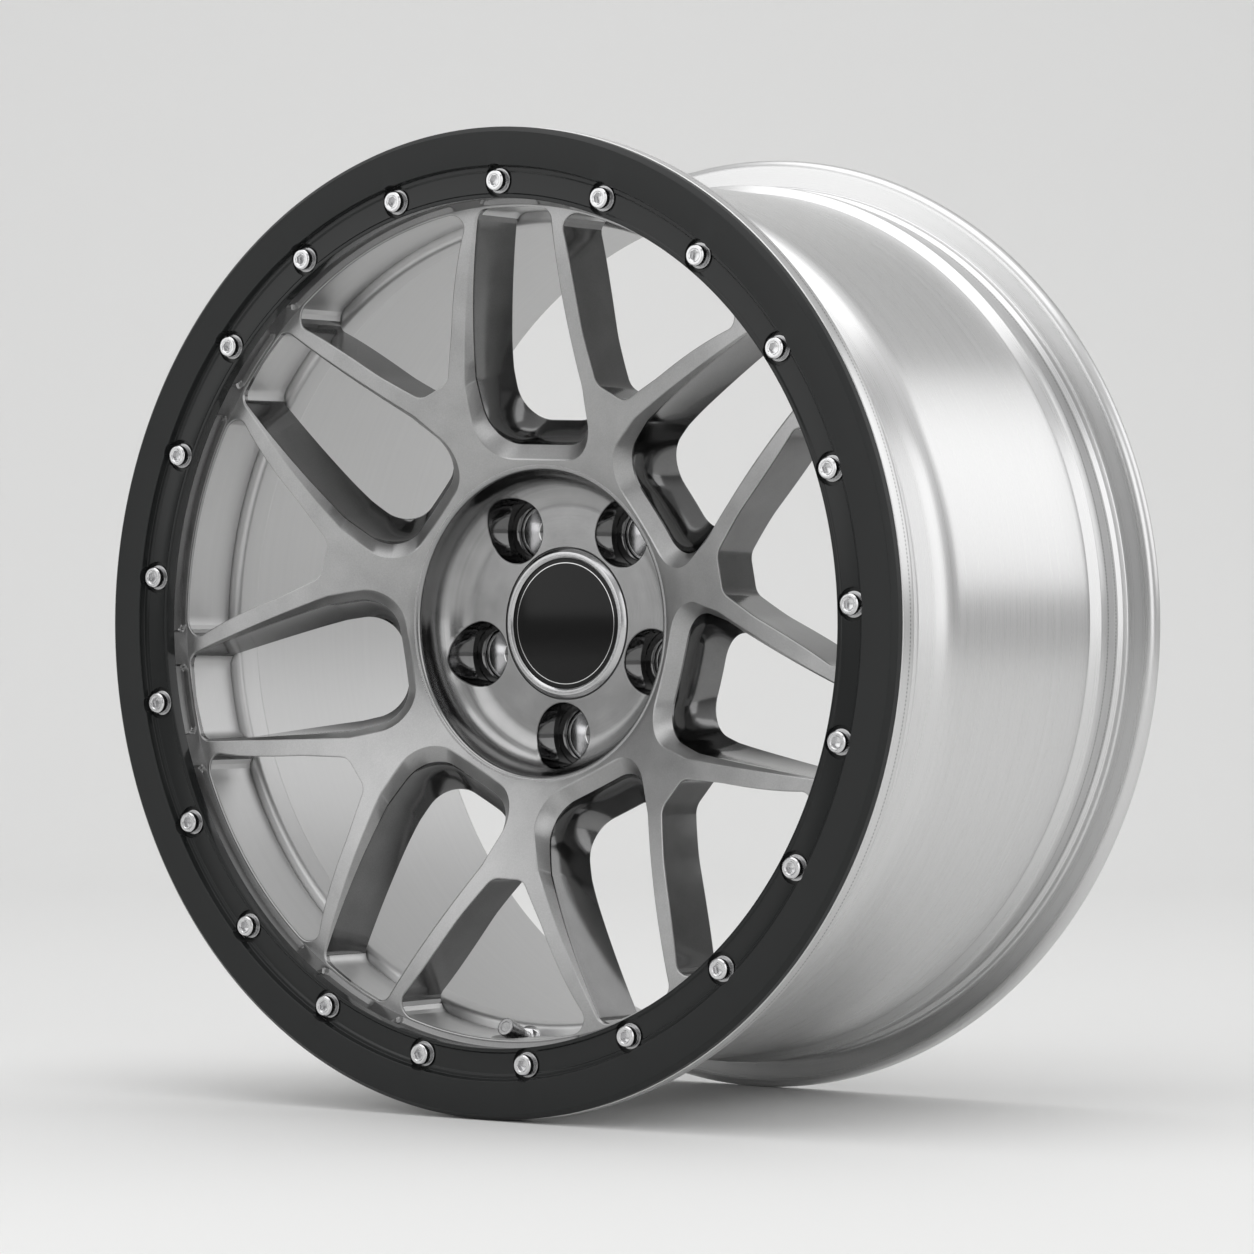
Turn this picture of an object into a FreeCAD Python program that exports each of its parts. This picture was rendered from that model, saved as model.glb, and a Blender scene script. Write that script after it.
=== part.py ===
"""Two-piece alloy road wheel with a bolted face ring, 18 x 8.5 J, five studs on 114.3 mm.

The axle runs along Y and the face looks towards -Y. The origin is on the axle, in the plane of
the hub mounting face. Depths are measured back from the front of the face ring.
"""
import math
import os

import FreeCAD
import Part
import Sketcher

SIZES = {
    # Stance
    "hub_depth": 102.5,        # face of the ring to the hub mounting face
    "roll": 2.0,               # how far the wheel has rolled, clockwise from the front, degrees
    # Rim barrel
    "flange_radius": 248.3,
    "bead_radius": 231.0,
    "barrel_radius": 228.5,
    "well_radius": 208.0,
    "barrel_wall": 5.0,
    "rim_width": 215.9,        # between the two flanges
    "front_flange": 13.0,      # thickness along the axle
    "rear_flange": 11.0,
    "bead_seat": 24.0,         # width of each bead seat
    "bead_drop": 2.0,          # fall of the bead seat from flange to hump
    "hump": 2.0,
    "well_start": 51.0,        # depth at which the barrel falls from the hump to the well
    "wall_slope": 24.0,        # lean of that fall, degrees, and of the valve that sits on it
    "well_floor": 4.0,
    "ramp_length": 17.0,       # from the well up to the barrel
    "rear_hump": 4.0,          # height of the safety hump at the back
    "rear_lip": 8.0,           # flare inside the back flange
    # Seats that barrel, disc and ring share
    "ring_depth": 6.0,         # front of the ring to the flange it lies on
    "land_depth": 9.5,         # front of the ring to the disc land it lies on
    "disc_flange": 6.0,        # thickness of the disc flange under the ring
    "pilot_radius": 229.0,
    "spigot_radius": 215.8,
    "seat_depth": 50.0,        # back of the disc skirt, on the barrel shoulder
    "slip": 0.2,               # radial clearance of located pieces
    # Centre disc
    "bore_radius": 36.55,      # pilots on the hub
    "bore_chamfer": 1.5,
    "bore_length": 14.5,
    "cap_bore": 35.6,
    "pad_depth": 70.5,
    "pad_back": 75.0,          # radius of the mounting pad behind
    "bowl_radius": 77.5,
    "bowl_fillet": 17.5,
    "lip_depth": 51.0,
    "face_start": 80.5,
    "face_start_depth": 46.6,
    "face_mid": 129.0,
    "face_mid_depth": 27.3,
    "window_radius": 209.0,    # inside of the skirt, where every window ends
    "face_end_depth": 17.0,
    "back_relief": 0.6,        # arms stand clear of the barrel shoulder
    "back_mid": 150.0,
    "back_mid_depth": 52.5,
    "back_hub": 105.0,
    "back_hub_depth": 66.6,
    "spokes": 7,
    # Hub windows
    "window_tilt": 22.3,       # lean of the window sections, along the dish, degrees
    "window_plane": 79.3,      # where that plane would cross the axle
    "window_tip": 23.3,        # half width at the skirt
    "window_top": 208.6,
    "tip_fillet": 6.0,
    "bevel_half": 37.5,        # half width of the bevel at the knee
    "bevel_knee": 119.0,
    "bevel_end": 82.8,
    "bevel_fillet": 20.0,
    "bevel_depth": 3.5,
    "bevel_side": 4.0,         # width of the bevel beside the spokes
    "bevel_toe": 8.2,          # width of the bevel at the hub
    "scoop_depth": 26.5,       # bevel to the back of the window
    "scoop_side": 7.0,         # how far the scoop rolls in from the sides
    "scoop_toe": 13.0,         # and from the hub
    "scoop_fillet": 17.0,
    # Windows between the arms of each spoke
    "crotch_radius": 129.2,
    "crotch_half": 9.6,
    "crotch_fillet": 8.0,
    "fork_half_angle": 38.1,
    # Studs
    "studs": 5,
    "stud_circle": 57.15,
    "stud_bore": 16.5,
    "stud_bore_depth": 88.0,
    "seat_bore": 13.2,
    "seat_bore_depth": 99.5,
    "stud_hole": 7.3,
    "seat_radius": 13.0,
    "seat_height": 8.0,
    "cone_radius": 11.6,
    "cone_height": 7.4,
    # Face ring and its bolts
    "ring_radius": 247.8,
    "ring_inner": 212.4,
    "ring_chamfer": 2.5,
    "channel_radius": 228.5,
    "channel_depth": 4.2,
    "channel_lip": 1.8,
    "lip_rise": 0.8,
    "bolts": 21,
    "bolt_circle": 221.0,
    "pocket_radius": 8.25,
    "pocket_depth": 6.2,
    "bolt_radius": 3.4,
    "bolt_clearance": 0.4,
    "thread_slip": 0.15,
    "bolt_length": 26.0,
    "thread_depth": 34.0,
    "head_radius": 5.3,
    "head_height": 4.8,
    "socket_width": 5.0,       # across flats
    "socket_depth": 3.0,
    "washer_radius": 6.5,
    "washer_thick": 1.2,
    # Centre cap
    "cap_recess": 1.5,
    "cap_radius": 38.9,
    "cap_plate": 1.2,
    "cap_skirt": 35.0,
    "cap_skirt_wall": 2.2,
    "cap_skirt_length": 13.0,
    "leg_slot": 6.0,
    "cap_legs": 8,
    "badge_radius": 33.2,
    "badge_thick": 1.2,
    "bezel_inner": 33.4,
    "bezel_radius": 38.4,
    "bezel_rise": 2.4,
    "spring_wire": 1.1,
    "spring_depth": 80.0,
    # Valve
    "valve_seat": 215.5,       # radius at which the valve leaves the outside of the barrel
    "valve_stem": 4.0,
    "valve_bore": 2.5,
    "valve_hole": 4.4,
    "valve_spot": 8.0,         # spot face in the barrel
    "valve_spot_height": 6.0,
    "valve_notch": 8.5,        # notch in the disc skirt
    "valve_base": 7.0,
    "valve_base_thick": 3.0,
    "seal_radius": 7.5,
    "seal_thick": 2.0,
    "valve_washer": 6.8,
    "valve_washer_thick": 1.2,
    "valve_nut": 11.0,         # across flats
    "valve_nut_height": 4.5,
    "valve_length": 28.0,
    "core_radius": 2.3,
    "core_length": 18.0,
    "valve_cap_radius": 4.7,
    "valve_cap_start": 18.0,
    "valve_cap_length": 11.5,
}

doc = FreeCAD.newDocument("alloy_wheel")
sheet = doc.addObject("Spreadsheet::Sheet", "dim")
for row, (alias, size) in enumerate(SIZES.items(), start=1):
    sheet.set(f"A{row}", alias)
    sheet.set(f"B{row}", str(size))
    sheet.setAlias(f"B{row}", alias)
doc.recompute()

X_AXIS = FreeCAD.Vector(1, 0, 0)
Y_AXIS = FreeCAD.Vector(0, 1, 0)
Z_AXIS = FreeCAD.Vector(0, 0, 1)
ORIGIN = (-1, 1)               # a sketch's own origin point
parts = {}


def value(expression):
    """The number that an expression on the sheet gives now."""
    return float(sheet.evalExpression(str(expression)))


def depth(expression):
    """The Y of a point that lies this far behind the front of the ring."""
    return f"({expression}) - dim.hub_depth"


def keep(node, piece):
    """Hand a finished object in as a sub-part."""
    piece.Label = node
    parts[node] = piece


def new_body(name):
    return doc.addObject("PartDesign::Body", name)


def new_sketch(body, name, role, along="0", tilt="0"):
    """A sketch on one of the body's own planes, moved along its normal and tilted about its X."""
    plane = next(item for item in body.Origin.OriginFeatures if item.Role == role)
    sketch = body.newObject("Sketcher::SketchObject", name)
    sketch.AttachmentSupport = [(plane, "")]
    sketch.MapMode = "FlatFace"
    sketch.AttachmentOffset = FreeCAD.Placement(FreeCAD.Vector(), FreeCAD.Rotation(X_AXIS, value(tilt)))
    sketch.setExpression("AttachmentOffset.Base.z", along)
    if tilt != "0":
        sketch.setExpression("AttachmentOffset.Rotation.Angle", tilt)
    return sketch


def pin(sketch, geometry, point, x, y):
    """Hold a point of a sketch at two expressions."""
    for kind, expression in (("DistanceX", x), ("DistanceY", y)):
        if expression is None:
            continue
        held = Sketcher.Constraint(kind, *ORIGIN, geometry, point, value(expression))
        sketch.setExpression(f"Constraints[{sketch.addConstraint(held)}]", str(expression))


def shared_ends(sketch, first, second):
    """Which end of each of two curves lies on the other."""
    ends = [(a, b) for a in (1, 2) for b in (1, 2)]
    return min(ends, key=lambda ab: (sketch.getPoint(first, ab[0]) - sketch.getPoint(second, ab[1])).Length)


def draw(sketch, corners):
    """A closed outline of straight edges. A corner is (x, y), (x, y, fillet radius), or
    (x, y, None, mid x, mid y) where the edge that follows it is an arc through that point."""
    spots = [FreeCAD.Vector(value(c[0]), value(c[1]), 0) for c in corners]
    count = len(corners)
    enter, leave = list(spots), list(spots)
    for i, corner in enumerate(corners):
        if len(corner) == 3:
            back = (spots[i - 1] - spots[i]).normalize()
            ahead = (spots[(i + 1) % count] - spots[i]).normalize()
            reach = value(corner[2]) / math.tan(back.getAngle(ahead) / 2)
            enter[i], leave[i] = spots[i] + back * reach, spots[i] + ahead * reach
    edges = []
    for i, corner in enumerate(corners):
        start, end = leave[i], enter[(i + 1) % count]
        if len(corner) == 5:
            middle = FreeCAD.Vector(value(corner[3]), value(corner[4]), 0)
            edges.append(sketch.addGeometry(Part.Arc(start, middle, end)))
        else:
            edges.append(sketch.addGeometry(Part.LineSegment(start, end)))
    for i, corner in enumerate(corners):
        before, after = edges[i - 1], edges[i]
        if len(corner) == 3:
            round_corner(sketch, before, after, corner, spots[i], enter[i], leave[i])
        else:
            a, b = shared_ends(sketch, before, after)
            sketch.addConstraint(Sketcher.Constraint("Coincident", before, a, after, b))
            pin(sketch, after, b, corner[0], corner[1])
        if len(corner) == 5:
            middle = FreeCAD.Vector(value(corner[3]), value(corner[4]), 0)
            mark = sketch.addGeometry(Part.Point(middle), True)
            pin(sketch, mark, 1, corner[3], corner[4])
            sketch.addConstraint(Sketcher.Constraint("PointOnObject", mark, 1, after))


def round_corner(sketch, before, after, corner, spot, enter, leave):
    """Fillet one corner and keep the corner point itself as construction."""
    mark = sketch.addGeometry(Part.Point(spot), True)
    pin(sketch, mark, 1, corner[0], corner[1])
    radius = value(corner[2])
    inward = ((enter - spot) + (leave - spot)).normalize()
    centre = spot + inward * math.hypot(radius, (enter - spot).Length)
    arc = sketch.addGeometry(Part.Arc(enter, centre - inward * radius, leave))
    for edge in (before, after):
        sketch.addConstraint(Sketcher.Constraint("PointOnObject", mark, 1, edge))
        a, b = shared_ends(sketch, edge, arc)
        sketch.addConstraint(Sketcher.Constraint("Tangent", edge, a, arc, b))
    held = sketch.addConstraint(Sketcher.Constraint("Radius", arc, radius))
    sketch.setExpression(f"Constraints[{held}]", str(corner[2]))


def circle(sketch, x, y, radius):
    ring = Part.Circle(FreeCAD.Vector(value(x), value(y), 0), Z_AXIS, value(radius))
    geometry = sketch.addGeometry(ring)
    pin(sketch, geometry, 3, x, y)
    held = sketch.addConstraint(Sketcher.Constraint("Radius", geometry, value(radius)))
    sketch.setExpression(f"Constraints[{held}]", str(radius))


def revolve(body, name, corners, role="XY_Plane"):
    """Turn an outline, given as (radius, place along the axis), round the upright of its sketch."""
    sketch = new_sketch(body, name + "_profile", role)
    draw(sketch, corners)
    turned = body.newObject("PartDesign::Revolution", name)
    turned.Profile = sketch
    turned.ReferenceAxis = (sketch, ["V_Axis"])
    turned.Angle = 360
    doc.recompute()


def removed(feature, before):
    """Stop if a cut has taken nothing from the volume there was before it."""
    doc.recompute()
    if feature.Shape.isNull() or feature.Shape.Volume > before - 1e-3:
        raise RuntimeError(f"{feature.Label} cuts nothing")


def pocket_from_front(body, sketch, name, length=None):
    """Cut a sketch on the XZ plane backwards, for a length or through everything."""
    before = body.Shape.Volume
    cut = body.newObject("PartDesign::Pocket", name)
    cut.Profile = sketch
    if length is None:
        cut.Type = "ThroughAll"
        cut.Midplane = True
    else:
        cut.setExpression("Length", length)
    removed(cut, before)
    return cut


def repeat(body, features, name, occurrences):
    """Copy cuts evenly round the axle."""
    before = body.Shape.Volume
    pattern = body.newObject("PartDesign::PolarPattern", name)
    pattern.Originals = features
    axis = next(item for item in body.Origin.OriginFeatures if item.Role == "Y_Axis")
    pattern.Axis = (axis, [""])
    pattern.Angle = 360
    pattern.setExpression("Occurrences", occurrences)
    body.Tip = pattern
    removed(pattern, before)


# Where the flanges and seats of the barrel lie behind the front of the ring
FRONT_BEAD = "dim.ring_depth + dim.front_flange"
REAR_BEAD = f"{FRONT_BEAD} + dim.rim_width"
REAR_FACE = f"{REAR_BEAD} + dim.rear_flange"
FRONT_TOE = f"{FRONT_BEAD} + dim.bead_seat"
REAR_TOE = f"{REAR_BEAD} - dim.bead_seat"
TOE_RADIUS = "dim.bead_radius - dim.bead_drop"
WALL_FALL = "(dim.bead_radius - dim.well_radius - 5) * tan(dim.wall_slope * 1 deg)"
WELL_FRONT = f"dim.well_start + {WALL_FALL}"
WELL_BACK = f"{WELL_FRONT} + dim.well_floor"
BARREL_START = f"{WELL_BACK} + dim.ramp_length"
LAND_BACK = "dim.land_depth + dim.disc_flange"


def valve_placement(along):
    """A place on the valve's own axis, this far in from the outside of the barrel. The axis stands
    square to the sloping wall of the well, at the foot of the wheel, and points forwards."""
    lean = math.radians(value("dim.wall_slope"))
    radius = value("dim.valve_seat")
    fall = (value("dim.bead_radius") - 5 - radius) * math.tan(lean)
    y = value("dim.well_start") + fall - value("dim.hub_depth")
    inwards = FreeCAD.Vector(0, -math.cos(lean), math.sin(lean))
    foot = FreeCAD.Vector(0, y, -radius) + inwards * along
    return FreeCAD.Placement(foot, FreeCAD.Rotation(Z_AXIS, inwards))


def valve_tool(name, radius, start, length):
    """A cylinder on the valve axis."""
    tool = doc.addObject("Part::Cylinder", name)
    tool.setExpression("Radius", radius)
    tool.setExpression("Height", length)
    tool.Placement = valve_placement(value(start))
    return tool


# Rim barrel: flanges, bead seats, drop well and the shoulder that the disc lies on
barrel = new_body("barrel_blank")
INSIDE = "dim.barrel_radius - dim.barrel_wall"
BORE = "dim.spigot_radius + dim.slip"
PILOT = "dim.pilot_radius + dim.slip"
REAR_HUMP = "dim.bead_radius + dim.rear_hump / 2"
revolve(barrel, "barrel_turned", [
    (BORE, depth(LAND_BACK)),
    (PILOT, depth(LAND_BACK)),
    (PILOT, depth("dim.ring_depth")),
    ("dim.flange_radius", depth("dim.ring_depth")),
    ("dim.flange_radius", depth(FRONT_BEAD), "5"),
    ("dim.bead_radius", depth(FRONT_BEAD), "6"),
    (TOE_RADIUS, depth(FRONT_TOE)),
    (f"{TOE_RADIUS} + dim.hump", depth(f"{FRONT_TOE} + 3")),
    ("dim.bead_radius - 5", depth("dim.well_start")),
    ("dim.well_radius", depth(WELL_FRONT)),
    ("dim.well_radius", depth(WELL_BACK)),
    ("dim.barrel_radius", depth(BARREL_START), "20"),
    ("dim.barrel_radius", depth(f"{REAR_TOE} - 4")),
    (REAR_HUMP, depth(REAR_TOE)),
    (REAR_HUMP, depth(f"{REAR_TOE} + 6")),
    ("dim.bead_radius", depth(f"{REAR_TOE} + 8")),
    ("dim.bead_radius", depth(f"{REAR_BEAD} - 5")),
    (REAR_HUMP, depth(f"{REAR_BEAD} - 3")),
    (REAR_HUMP, depth(f"{REAR_BEAD} + 1"), "1.5"),
    ("dim.flange_radius", depth(f"{REAR_BEAD} + 1"), "4.5"),
    ("dim.flange_radius", depth(REAR_FACE), "4"),
    (f"{INSIDE} + dim.barrel_wall", depth(REAR_FACE)),
    (INSIDE, depth(f"{REAR_FACE} - dim.rear_lip")),
    (INSIDE, depth(f"{BARREL_START} + 2.5")),
    ("dim.well_radius - dim.barrel_wall", depth(f"{WELL_BACK} + 2.5")),
    ("dim.well_radius - dim.barrel_wall", depth("dim.seat_depth")),
    (BORE, depth("dim.seat_depth")),
])
threads = new_sketch(barrel, "thread_sketch", "XZ_Plane", f"dim.hub_depth - ({LAND_BACK})")
circle(threads, "0", "dim.bolt_circle", "dim.bolt_radius + dim.thread_slip")
threaded = pocket_from_front(barrel, threads, "thread_hole", f"dim.thread_depth - ({LAND_BACK})")
repeat(barrel, [threaded], "thread_holes", "dim.bolts")

valve_hole = valve_tool("valve_hole", "dim.valve_hole", "-10", "30")
valve_spot = valve_tool("valve_spot", "dim.valve_spot", "dim.valve_spot_height", "40")
valve_cuts = doc.addObject("Part::MultiFuse", "valve_cuts")
valve_cuts.Shapes = [valve_hole, valve_spot]
rim_barrel = doc.addObject("Part::Cut", "rim_barrel")
rim_barrel.Base = barrel
rim_barrel.Tool = valve_cuts
keep("rim_barrel", rim_barrel)

# Centre disc: dished face, bowl, hub pad, skirt inside the barrel, windows and stud holes
disc = new_body("disc_blank")
revolve(disc, "disc_turned", [
    ("dim.bore_radius", depth("dim.hub_depth - dim.bore_chamfer")),
    ("dim.bore_radius", depth("dim.hub_depth - dim.bore_length")),
    ("dim.cap_bore", depth("dim.hub_depth - dim.bore_length")),
    ("dim.cap_bore", depth("dim.pad_depth + dim.cap_recess")),
    ("dim.cap_radius + dim.slip", depth("dim.pad_depth + dim.cap_recess")),
    ("dim.cap_radius + dim.slip", depth("dim.pad_depth")),
    ("dim.bowl_radius", depth("dim.pad_depth"), "dim.bowl_fillet"),
    ("dim.bowl_radius", depth("dim.lip_depth")),
    ("dim.face_start", depth("dim.face_start_depth"), None, "dim.face_mid", depth("dim.face_mid_depth")),
    ("dim.window_radius + 1", depth("dim.face_end_depth")),
    ("dim.ring_inner + dim.slip", depth("dim.land_depth")),
    ("dim.pilot_radius", depth("dim.land_depth")),
    ("dim.pilot_radius", depth(LAND_BACK)),
    ("dim.spigot_radius", depth(LAND_BACK)),
    ("dim.spigot_radius", depth("dim.seat_depth")),
    ("dim.window_radius", depth("dim.seat_depth")),
    ("dim.window_radius", depth("dim.seat_depth - dim.back_relief")),
    ("dim.well_radius - dim.barrel_wall - 3", depth("dim.seat_depth - dim.back_relief")),
    ("dim.back_mid", depth("dim.back_mid_depth")),
    ("dim.back_hub", depth("dim.back_hub_depth")),
    ("dim.pad_back + 2", depth("dim.hub_depth - 6")),
    ("dim.pad_back", depth("dim.hub_depth")),
    ("dim.bore_radius + dim.bore_chamfer", depth("dim.hub_depth")),
])


def window_outline(sketch, half, knee, end, fillet):
    """One section of a hub window: a slot that widens from the skirt to a knee and ends in a broad U."""
    lean = "cos(dim.window_tilt * 1 deg)"
    draw(sketch, [
        ("-dim.window_tip", f"dim.window_top / {lean}", "dim.tip_fillet"),
        ("dim.window_tip", f"dim.window_top / {lean}", "dim.tip_fillet"),
        (half, f"({knee}) / {lean}"),
        (f"{half} - 1", f"({end}) / {lean}", fillet),
        (f"-({half} - 1)", f"({end}) / {lean}", fillet),
        (f"-({half})", f"({knee}) / {lean}"),
    ])


def window_section(name, behind, side, toe, fillet):
    """A section this far behind the dish, drawn in by side and toe from the outside of the bevel."""
    sketch = new_sketch(disc, name, "XZ_Plane", f"dim.hub_depth - dim.window_plane - ({behind})",
                        "dim.window_tilt")
    half = f"dim.bevel_half - ({side})"
    knee = f"dim.bevel_knee + ({toe}) / 2"
    window_outline(sketch, half, knee, f"dim.bevel_end + ({toe})", fillet)
    return sketch


def window_cut(name, sections, ruled):
    before = disc.Shape.Volume
    cut = disc.newObject("PartDesign::SubtractiveLoft", name)
    cut.Profile = sections[0]
    cut.Sections = sections[1:]
    cut.Ruled = ruled
    removed(cut, before)
    return cut


# The bevel runs on past the face at its own slope, so that its front edge follows the dish
ABOVE = "2 * dim.bevel_depth"
bevel_front = window_section("bevel_front", f"-({ABOVE})", "-2 * dim.bevel_side", "-2 * dim.bevel_toe",
                             "dim.bevel_fillet + 4")
bevel_back = window_section("bevel_back", "dim.bevel_depth", "dim.bevel_side", "dim.bevel_toe",
                            "dim.bevel_fillet - 2")
bevel = window_cut("window_bevel", [bevel_front, bevel_back], True)

# The scoop falls steeply below the bevel, then rolls out into the window towards the back
scoop_sections = []
for name, fall, inwards in (("scoop_front", 0.0, 0.0), ("scoop_cove", 0.45, 0.12),
                            ("scoop_roll", 0.8, 0.62), ("scoop_back", 1.0, 1.0)):
    scoop_sections.append(window_section(
        name,
        f"dim.bevel_depth + dim.scoop_depth * {fall}",
        f"dim.bevel_side + dim.scoop_side * {inwards}",
        f"dim.bevel_toe + dim.scoop_toe * {inwards}",
        f"dim.bevel_fillet - 2 + (dim.scoop_fillet - dim.bevel_fillet + 2) * {inwards}"))
scoop = window_cut("window_scoop", scoop_sections, False)
through = []
for name, behind in (("through_front", 1.0), ("through_back", 2.2)):
    through.append(window_section(
        name,
        f"dim.bevel_depth + dim.scoop_depth * {behind}",
        "dim.bevel_side + dim.scoop_side",
        "dim.bevel_toe + dim.scoop_toe",
        "dim.scoop_fillet"))
opening = window_cut("window_opening", through, True)
repeat(disc, [bevel, scoop, opening], "hub_windows", "dim.spokes")


def fork_outline(sketch):
    """The window between two arms: a flat crotch, two straight sides and the round of the skirt."""
    lean = math.radians(value("dim.fork_half_angle"))
    radius, small = value("dim.window_radius"), value("dim.tip_fillet")
    foot = FreeCAD.Vector(value("dim.crotch_half"), value("dim.crotch_radius"), 0)
    along = FreeCAD.Vector(math.sin(lean), math.cos(lean), 0)
    outward = FreeCAD.Vector(math.cos(lean), -math.sin(lean), 0)
    # Centre of the small arc: its radius in from the side, and from the skirt
    base = foot - outward * small
    half = base.dot(along)
    reach = -half + math.sqrt(half ** 2 - base.dot(base) + (radius - small) ** 2)
    tip = base + along * reach
    side_top = tip + outward * small
    rim_point = tip * (radius / tip.Length)
    crotch = value("dim.crotch_fillet")
    back_off = crotch * math.tan((math.pi / 2 - lean) / 2)

    def mirror(point):
        return FreeCAD.Vector(-point.x, point.y, 0)

    rim = sketch.addGeometry(Part.Arc(rim_point, FreeCAD.Vector(0, radius, 0), mirror(rim_point)))
    floor_end = foot - X_AXIS * back_off
    floor = sketch.addGeometry(Part.LineSegment(mirror(floor_end), floor_end))
    sketch.addConstraint(Sketcher.Constraint("Coincident", rim, 3, *ORIGIN))
    held = sketch.addConstraint(Sketcher.Constraint("Radius", rim, radius))
    sketch.setExpression(f"Constraints[{held}]", "dim.window_radius")
    for sign, flip in ((1, lambda point: point), (-1, mirror)):
        side = sketch.addGeometry(Part.LineSegment(flip(foot + along * back_off), flip(side_top)))
        tip_middle = tip + ((side_top - tip) + (rim_point - tip)).normalize() * small
        tip_arc = sketch.addGeometry(Part.Arc(flip(side_top), flip(tip_middle), flip(rim_point)))
        mark = sketch.addGeometry(Part.Point(flip(foot)), True)
        pin(sketch, mark, 1, f"{sign} * dim.crotch_half", "dim.crotch_radius")
        inward = (-X_AXIS + along).normalize()
        nearest = foot + inward * (math.hypot(crotch, back_off) - crotch)
        crotch_arc = sketch.addGeometry(Part.Arc(flip(floor_end), flip(nearest), flip(foot + along * back_off)))
        for edge in (floor, side):
            sketch.addConstraint(Sketcher.Constraint("PointOnObject", mark, 1, edge))
            a, b = shared_ends(sketch, edge, crotch_arc)
            sketch.addConstraint(Sketcher.Constraint("Tangent", edge, a, crotch_arc, b))
        for edge in (side, rim):
            a, b = shared_ends(sketch, edge, tip_arc)
            sketch.addConstraint(Sketcher.Constraint("Tangent", edge, a, tip_arc, b))
        for arc, size in ((tip_arc, "dim.tip_fillet"), (crotch_arc, "dim.crotch_fillet")):
            held = sketch.addConstraint(Sketcher.Constraint("Radius", arc, value(size)))
            sketch.setExpression(f"Constraints[{held}]", size)
        slope = sketch.addConstraint(Sketcher.Constraint("Angle", side, math.pi / 2 - sign * lean))
        sketch.setExpression(f"Constraints[{slope}]", f"90 deg - {sign} deg * dim.fork_half_angle")


# The fork windows stand half a pitch round from the hub windows
fork = new_sketch(disc, "fork_sketch", "XZ_Plane")
fork.AttachmentOffset = FreeCAD.Placement(FreeCAD.Vector(), FreeCAD.Rotation(Z_AXIS, 180 / value("dim.spokes")))
fork.setExpression("AttachmentOffset.Rotation.Angle", "180 / dim.spokes")
fork_outline(fork)
forked = pocket_from_front(disc, fork, "fork_window")
repeat(disc, [forked], "fork_windows", "dim.spokes")

# Stud holes: a deep counterbore that breaks into the bowl, a seat bore and the clearance hole
stud_cuts = []
for name, radius, bottom in (("stud_bore", "dim.stud_bore", "dim.stud_bore_depth"),
                             ("seat_bore", "dim.seat_bore", "dim.seat_bore_depth"),
                             ("stud_hole", "dim.stud_hole", "dim.hub_depth + 1")):
    sketch = new_sketch(disc, name + "_sketch", "XZ_Plane", "dim.hub_depth")
    circle(sketch, "0", "-dim.stud_circle", radius)
    stud_cuts.append(pocket_from_front(disc, sketch, name, bottom))
repeat(disc, stud_cuts, "stud_holes", "dim.studs")

# Clearance holes for the ring bolts, through the disc flange
bolt_sketch = new_sketch(disc, "disc_bolt_sketch", "XZ_Plane", "dim.hub_depth")
circle(bolt_sketch, "0", "dim.bolt_circle", "dim.bolt_radius + dim.bolt_clearance")
disc_bolt = pocket_from_front(disc, bolt_sketch, "disc_bolt_hole", f"{LAND_BACK} + 1")
repeat(disc, [disc_bolt], "disc_bolt_holes", "dim.bolts")

valve_notch = valve_tool("valve_notch", "dim.valve_notch", "0", "46")
centre_disc = doc.addObject("Part::Cut", "centre_disc")
centre_disc.Base = disc
centre_disc.Tool = valve_notch
keep("centre_disc", centre_disc)

# Face ring: flat outer band, stepped channel with a lip at each side, bolt pockets
ring = new_body("face_ring")
keep("face_ring", ring)
CHANNEL_FLOOR = "dim.channel_depth"
CHANNEL_TOP = "dim.channel_depth - dim.lip_rise"
revolve(ring, "ring_turned", [
    ("dim.ring_inner", depth("dim.land_depth")),
    ("dim.ring_inner", depth(CHANNEL_TOP)),
    ("dim.ring_inner + dim.channel_lip", depth(CHANNEL_TOP)),
    ("dim.ring_inner + dim.channel_lip + dim.lip_rise", depth(CHANNEL_FLOOR)),
    ("dim.channel_radius - dim.channel_lip - dim.lip_rise * 2", depth(CHANNEL_FLOOR)),
    ("dim.channel_radius - dim.channel_lip - dim.lip_rise", depth(CHANNEL_TOP)),
    ("dim.channel_radius - dim.lip_rise", depth(CHANNEL_TOP)),
    ("dim.channel_radius", depth("0")),
    ("dim.ring_radius - dim.ring_chamfer", depth("0")),
    ("dim.ring_radius", depth("dim.ring_chamfer")),
    ("dim.ring_radius", depth("dim.ring_depth")),
    ("dim.pilot_radius", depth("dim.ring_depth")),
    ("dim.pilot_radius", depth("dim.land_depth")),
])
ring_cuts = []
for name, radius, bottom in (("bolt_pocket", "dim.pocket_radius", "dim.pocket_depth"),
                             ("bolt_hole", "dim.bolt_radius + dim.bolt_clearance", "dim.land_depth + 1")):
    sketch = new_sketch(ring, name + "_sketch", "XZ_Plane", "dim.hub_depth")
    circle(sketch, "0", "dim.bolt_circle", radius)
    ring_cuts.append(pocket_from_front(ring, sketch, name, bottom))
repeat(ring, ring_cuts, "bolt_pockets", "dim.bolts")


def turned_piece(name, corners):
    """A small turned piece in its own frame, its axis along Z. Corners are (radius, height)."""
    body = new_body(name)
    revolve(body, name + "_turned", corners, "XZ_Plane")
    return body


def hex_prism(name, across, height, start):
    prism = doc.addObject("Part::Prism", name)
    prism.Polygon = 6
    prism.setExpression("Circumradius", f"({across}) / (2 * cos(30 deg))")
    prism.setExpression("Height", height)
    prism.setExpression("Placement.Base.z", start)
    return prism


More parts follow.
